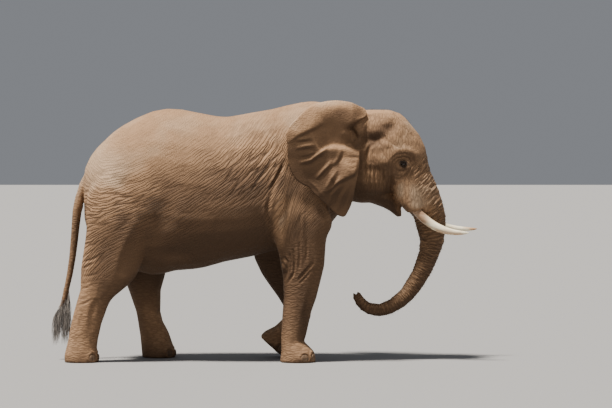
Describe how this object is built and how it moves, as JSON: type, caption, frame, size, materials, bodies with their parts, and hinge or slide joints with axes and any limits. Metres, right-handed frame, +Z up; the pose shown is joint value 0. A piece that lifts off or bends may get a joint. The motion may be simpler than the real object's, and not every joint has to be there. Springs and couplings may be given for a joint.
{
  "type": "african elephant",
  "caption": "Still, life-size african savanna elephant bull in a slow walk, ears laid back, trunk curled low, one forefoot on its toes.",
  "frame": {"origin": "on the floor, under the middle of the bounding box", "axes": "+X the way the animal heads, +Y its left side, +Z up"},
  "size_m": [4.9848, 1.3148, 3.011],
  "materials": {
    "skin": "dusty, dry, deeply wrinkled hide",
    "ivory": "satin ivory, stained at the root",
    "eye": "wet, dark brown",
    "nail": "worn, dusty horn",
    "hair": "coarse, wiry, blue-black"
  },
  "bodies": {
    "root": {"torso": "skin", "neck": "skin", "head": "skin", "lower_jaw": "skin", "trunk_upper": "skin", "trunk_middle": "skin", "trunk_tip": "skin", "tail": "skin", "ear_right": "skin", "ear_left": "skin", "foreleg_right_upper": "skin", "foreleg_right_lower": "skin", "foreleg_right_foot": "skin", "foreleg_left_upper": "skin", "foreleg_left_lower": "skin", "foreleg_left_foot": "skin", "hind_leg_right_upper": "skin", "hind_leg_right_lower": "skin", "hind_leg_right_foot": "skin", "hind_leg_left_upper": "skin", "hind_leg_left_lower": "skin", "hind_leg_left_foot": "skin", "tail_tuft": "hair", "tusk_right": "ivory", "eye_right": "eye", "tusk_left": "ivory", "eye_left": "eye", "forefoot_right_nail_1": "nail", "forefoot_right_nail_2": "nail", "forefoot_right_nail_3": "nail", "forefoot_right_nail_4": "nail", "forefoot_left_nail_1": "nail", "forefoot_left_nail_2": "nail", "forefoot_left_nail_3": "nail", "forefoot_left_nail_4": "nail", "hind_foot_right_nail_1": "nail", "hind_foot_right_nail_2": "nail", "hind_foot_right_nail_3": "nail", "hind_foot_left_nail_1": "nail", "hind_foot_left_nail_2": "nail", "hind_foot_left_nail_3": "nail"}
  },
  "joints": []
}
